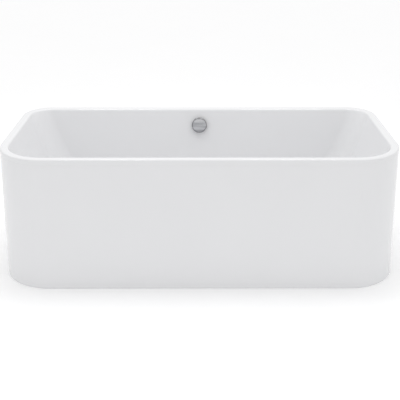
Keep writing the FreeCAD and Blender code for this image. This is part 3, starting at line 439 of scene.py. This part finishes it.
def make_shells():
    """Acrylic basin with its rim, and the skirt under it."""
    place = knob_place()
    hole_start, hole_end = (place @ Vector((0, 0, z)) for z in OVERFLOW_CUT)
    basin = carved(stacked(basin_rings()), rod(hole_start, hole_end, OVERFLOW_HOLE))
    return [
        new_piece("basin_body", basin, "tub", ["basin_shell"], "acrylic_white"),
        new_piece("skirt_body", stacked(skirt_rings()), "tub", ["outer_skirt"], "acrylic_white"),
    ]


# ---- Materials ----

def add(tree, kind, inputs=None, **settings):
    """New node with its settings, its input values and its input links."""
    node = tree.nodes.new(kind)
    for key, value in settings.items():
        setattr(node, key, value)
    for key, value in (inputs or {}).items():
        if isinstance(value, bpy.types.NodeSocket):
            tree.links.new(value, node.inputs[key])
        else:
            node.inputs[key].default_value = value
    return node


def place_vector(tree, stretch=(1, 1, 1), turn=(0, 0, 0)):
    """Coordinates in the tub's frame, stretched and turned."""
    coordinates = add(tree, "ShaderNodeTexCoord").outputs["Object"]
    inputs = {"Vector": coordinates, "Scale": stretch, "Rotation": [math.radians(a) for a in turn]}
    return add(tree, "ShaderNodeMapping", inputs).outputs["Vector"]


def noise(tree, scale, detail=3.0, stretch=(1, 1, 1), turn=(0, 0, 0), distortion=0.0):
    """Noise value over the surface; scale is in features per metre."""
    inputs = {
        "Vector": place_vector(tree, stretch, turn), "Scale": scale, "Detail": detail,
        "Distortion": distortion,
    }
    return add(tree, "ShaderNodeTexNoise", inputs).outputs["Fac"]


def cells(tree, scale, stretch=(1, 1, 1), output="Distance", turn=(0, 0, 0)):
    """Voronoi cells over the surface."""
    inputs = {"Vector": place_vector(tree, stretch, turn), "Scale": scale}
    return add(tree, "ShaderNodeTexVoronoi", inputs).outputs[output]


def ranged(tree, value, low, high, source=(0.3, 0.7)):
    """Value mapped from its usual span to low..high."""
    inputs = {
        "Value": value, "From Min": source[0], "From Max": source[1], "To Min": low, "To Max": high,
    }
    return add(tree, "ShaderNodeMapRange", inputs).outputs["Result"]


def ramp(tree, value, stops):
    """Colour from a value through (position, colour) stops."""
    node = add(tree, "ShaderNodeValToRGB", {"Fac": value})
    elements = node.color_ramp.elements
    while len(elements) < len(stops):
        elements.new(0.5)
    for element, (position, colour) in zip(elements, stops):
        element.position = position
        element.color = (*colour, 1)
    return node.outputs["Color"]


def bumped(tree, heights):
    """Normal from a chain of (height value, distance in metres, strength) bumps."""
    normal = None
    for height, distance, strength in heights:
        inputs = {"Height": height, "Distance": distance, "Strength": strength}
        if normal is not None:
            inputs["Normal"] = normal
        normal = add(tree, "ShaderNodeBump", inputs).outputs["Normal"]
    return normal


def surface(name, build, **constants):
    """Material whose colour, roughness and bumps come from build(tree)."""
    material = bpy.data.materials.new(name)
    material.use_nodes = True
    tree = material.node_tree
    tree.nodes.clear()
    colour, roughness, heights = build(tree)
    inputs = {"Base Color": colour, "Roughness": roughness, **constants}
    if heights:
        inputs["Normal"] = bumped(tree, heights)
    shader = add(tree, "ShaderNodeBsdfPrincipled", inputs)
    add(tree, "ShaderNodeOutputMaterial", {"Surface": shader.outputs["BSDF"]})
    return material


def tint(colour, factor):
    """The colour made lighter or darker by a factor."""
    return tuple(min(1.0, c * factor) for c in colour)


def mottled(tree, colour, spread, scale):
    """The colour, a little lighter and darker in soft patches."""
    stops = [(0.3, tint(colour, 1 - spread)), (0.7, tint(colour, 1 + spread))]
    return ramp(tree, noise(tree, scale), stops)


def tones(tree, value, *stops):
    """Ramp from (position, red, green, blue) stops."""
    return ramp(tree, value, [(stop[0], stop[1:]) for stop in stops])


def acrylic(tree):
    colour = mottled(tree, (0.765, 0.767, 0.778), 0.006, 3.0)
    roughness = ranged(tree, noise(tree, 22, 5), 0.045, 0.075)
    heights = [(noise(tree, 7, 2), 0.0004, 0.05), (noise(tree, 420, 2), 0.00002, 0.08)]
    return colour, roughness, heights


def laminate(tree):
    fibres = noise(tree, 60, 4, (1, 9, 3), (20, 0, 35))
    crossed = noise(tree, 60, 4, (8, 1, 3), (-15, 10, 70))
    both = add(tree, "ShaderNodeMath", {0: fibres, 1: crossed}, operation="MAXIMUM").outputs[0]
    stops = ((0.4, 0.50, 0.50, 0.40), (0.62, 0.66, 0.66, 0.56), (0.75, 0.78, 0.78, 0.70))
    colour = tones(tree, both, *stops)
    roughness = ranged(tree, both, 0.55, 0.8)
    return colour, roughness, [(both, 0.0012, 0.7), (noise(tree, 900, 2), 0.0002, 0.5)]


def adhesive(tree):
    colour = mottled(tree, (0.66, 0.66, 0.60), 0.06, 25)
    lumps = noise(tree, 90)
    return colour, ranged(tree, lumps, 0.45, 0.65), [(lumps, 0.0008, 0.6)]


def chipboard(tree):
    chips = cells(tree, 190, (1, 2.4, 2), "Color", (0, 0, 27))
    shade = add(tree, "ShaderNodeSeparateColor", {"Color": chips}).outputs[0]
    stops = ((0.0, 0.30, 0.20, 0.11), (0.5, 0.47, 0.34, 0.20), (1.0, 0.62, 0.48, 0.31))
    colour = tones(tree, shade, *stops)
    return colour, ranged(tree, shade, 0.7, 0.85, (0, 1)), [(shade, 0.0003, 0.5)]


def softwood(tree):
    grain = noise(tree, 30, 5, (0.06, 1, 1.2), (0, 0, 2), 0.6)
    stops = ((0.3, 0.42, 0.27, 0.13), (0.5, 0.60, 0.43, 0.24), (0.7, 0.68, 0.52, 0.31))
    colour = tones(tree, grain, *stops)
    return colour, ranged(tree, grain, 0.5, 0.68), [(grain, 0.0003, 0.5)]


def coated_steel(tree):
    colour = mottled(tree, (0.27, 0.28, 0.29), 0.05, 14)
    peel = noise(tree, 700, 2)
    return colour, ranged(tree, peel, 0.32, 0.44), [(peel, 0.00006, 0.5)]


def zinc(tree):
    spangle = cells(tree, 260, output="Color")
    shade = add(tree, "ShaderNodeSeparateColor", {"Color": spangle}).outputs[0]
    colour = tones(tree, shade, (0.0, 0.52, 0.54, 0.56), (1.0, 0.66, 0.67, 0.68))
    return colour, ranged(tree, shade, 0.22, 0.38, (0, 1)), [(noise(tree, 1500, 2), 0.00002, 0.4)]


def moulded(colour, low, high, grain):
    """Builder for moulded plastics and rubber with a fine texture."""
    def build(tree):
        patches = mottled(tree, colour, 0.03, 30)
        texture = noise(tree, grain)
        return patches, ranged(tree, texture, low, high), [(texture, 0.00005, 0.5)]
    return build


def vectors(tree, operation, first, second):
    """Vector made from two others."""
    inputs = {0: first, 1: second}
    return add(tree, "ShaderNodeVectorMath", inputs, operation=operation).outputs["Vector"]


def from_knob_axis(tree):
    """Distance of each surface point from the knob's axis, in metres."""
    coordinates = add(tree, "ShaderNodeTexCoord").outputs["Object"]
    offset = vectors(tree, "SUBTRACT", coordinates, KNOB_CENTRE)
    across = vectors(tree, "CROSS_PRODUCT", offset, KNOB_AXIS)
    return add(tree, "ShaderNodeVectorMath", {0: across}, operation="LENGTH").outputs["Value"]


def chrome(tree):
    """Bright chrome with faint level brushing; the colour is darkened in a ring over the knob's rounded
    edge as painted shade, standing in for the dark reflections there.
    """
    brushing = noise(tree, 62, 2, (0.1, 1, 1.3))
    bright = tones(tree, brushing, (0.38, 0.43, 0.435, 0.447), (0.6, 0.66, 0.665, 0.68))
    # Painted shade: a ring of darker colour at the knob's rounded edge, placed by distance from the
    # knob's axis, standing in for its dark reflections.
    share = ranged(tree, from_knob_axis(tree), 0, 1, (0, 0.05))
    plain, dark = (1, 1, 1), (0.5, 0.5, 0.505)
    knob_edge_painted_shade = ramp(tree, share, [(0.64, plain), (0.73, dark), (0.82, dark), (0.86, plain)])
    colour = vectors(tree, "MULTIPLY", bright, knob_edge_painted_shade)
    smudges = noise(tree, 70, 4)
    hairlines = noise(tree, 500, 2, (1, 14, 14), (0, 0, 12))
    return colour, ranged(tree, smudges, 0.08, 0.16), [(hairlines, 0.000004, 0.3)]


def brushed(tree):
    lines = noise(tree, 900, 3, (0.05, 1, 1))
    colour = tones(tree, lines, (0.3, 0.40, 0.41, 0.42), (0.7, 0.52, 0.53, 0.54))
    return colour, ranged(tree, lines, 0.2, 0.38), [(lines, 0.00001, 0.5)]


def brass(tree):
    colour = mottled(tree, (0.60, 0.42, 0.16), 0.08, 60)
    turned = noise(tree, 1300, 2, (0.2, 0.2, 1))
    return colour, ranged(tree, turned, 0.18, 0.32), [(turned, 0.00001, 0.4)]


def pale_floor(tree):
    colour = mottled(tree, (0.98, 0.98, 0.983), 0.004, 1.5)
    fine = noise(tree, 120)
    return colour, ranged(tree, fine, 0.7, 0.85), [(fine, 0.0001, 0.1)]


MATERIALS = {
    "acrylic_white": (acrylic, {"IOR": 1.49}),
    "glass_fibre_laminate": (laminate, {}),
    "bonding_adhesive": (adhesive, {}),
    "chipboard": (chipboard, {}),
    "softwood": (softwood, {}),
    "frame_coating": (coated_steel, {}),
    "zinc_steel": (zinc, {"Metallic": 1.0}),
    "pad_plastic": (moulded((0.022, 0.022, 0.024), 0.45, 0.62, 900), {}),
    "seal_rubber": (moulded((0.030, 0.030, 0.031), 0.6, 0.8, 500), {}),
    "pipe_plastic": (moulded((0.76, 0.76, 0.735), 0.3, 0.45, 300), {}),
    "nut_plastic": (moulded((0.075, 0.08, 0.088), 0.35, 0.5, 600), {}),
    "chrome_trim": (chrome, {"Metallic": 1.0}),
    "stainless_strainer": (brushed, {"Metallic": 1.0}),
    "brass_stem": (brass, {"Metallic": 1.0}),
    "cable_jacket": (moulded((0.028, 0.028, 0.030), 0.4, 0.55, 1200), {}),
}


def paint(item, material):
    """Leaves the item with this one material."""
    item.data.materials.clear()
    item.data.materials.append(material)


def dress(pieces):
    """Gives every CAD node and every new piece the material of its slot."""
    made = {}
    for name, (build, constants) in MATERIALS.items():
        made[name] = surface(name, build, **constants)
    for part in frame["record"]["subparts"]:
        paint(frame["nodes"][part["node"]], made[part["material_slot"]])
    for piece in pieces:
        paint(piece, made[piece["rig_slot"]])


# ---- Room, light and camera ----

def make_floor():
    """Large pale disc under the tub."""
    bm = bmesh.new()
    rows = []
    for radius in DISC_RADII:
        row = []
        for k in range(DISC_STEPS):
            a = 2 * math.pi * k / DISC_STEPS
            row.append(bm.verts.new((radius * math.cos(a), radius * math.sin(a), DISC_Z)))
        rows.append(row)
    bm.faces.new(rows[0])
    for inner, outer in zip(rows, rows[1:]):
        for k in range(DISC_STEPS):
            n = (k + 1) % DISC_STEPS
            bm.faces.new((inner[k], outer[k], outer[n], inner[n]))
    bmesh.ops.recalc_face_normals(bm, faces=bm.faces)
    mesh = bpy.data.meshes.new("floor")
    bm.to_mesh(mesh)
    bm.free()
    floor = bpy.data.objects.new("floor", mesh)
    bpy.context.scene.collection.objects.link(floor)
    glow = {"Emission Color": (1, 1, 1, 1), "Emission Strength": DISC_GLOW}
    paint(floor, surface("pale_floor", pale_floor, **glow))


def make_world():
    """Even pale studio light from all round, a little darker towards the horizon."""
    world = bpy.data.worlds.new("studio")
    bpy.context.scene.world = world
    world.use_nodes = True
    tree = world.node_tree
    tree.nodes.clear()
    direction = add(tree, "ShaderNodeTexCoord").outputs["Generated"]
    height = add(tree, "ShaderNodeSeparateXYZ", {"Vector": direction}).outputs["Z"]
    dim, bright, top = (0.71, 0.71, 0.713), (0.94, 0.94, 0.94), (0.92, 0.92, 0.92)
    colour = ramp(tree, height, [(0.0, dim), (0.4, bright), (1.0, top)])
    background = add(tree, "ShaderNodeBackground", {"Color": colour, "Strength": 1.0})
    add(tree, "ShaderNodeOutputWorld", {"Surface": background.outputs["Background"]})


def make_lights():
    """Two square softboxes over the tub, each pointing straight down."""
    for name, x, watts in LAMPS:
        lamp = bpy.data.lights.new(name, "AREA")
        lamp.shape = "RECTANGLE"
        lamp.size = lamp.size_y = LAMP_SIZE
        lamp.energy = watts
        item = bpy.data.objects.new(name, lamp)
        bpy.context.scene.collection.objects.link(item)
        item.location = (x, 0, LAMP_HEIGHT)


def make_camera():
    """Level camera in front of the tub, looking down on it, with a lens shift for the framing."""
    data = bpy.data.cameras.new("camera")
    data.sensor_width = SENSOR_WIDTH
    data.lens = FOCAL_LENGTH / PICTURE_WIDTH * SENSOR_WIDTH
    data.shift_y = CAMERA_SHIFT
    camera = bpy.data.objects.new("camera", data)
    bpy.context.scene.collection.objects.link(camera)
    camera.location = CAMERA_PLACE
    camera.rotation_euler = (math.pi / 2 - CAMERA_PITCH, 0, CAMERA_YAW)
    bpy.context.scene.camera = camera


pieces = make_shells() + [make_knob(), make_plug()]
dress(pieces)
make_floor()
make_world()
make_lights()
make_camera()
bpy.context.scene.view_settings.view_transform = "Standard"
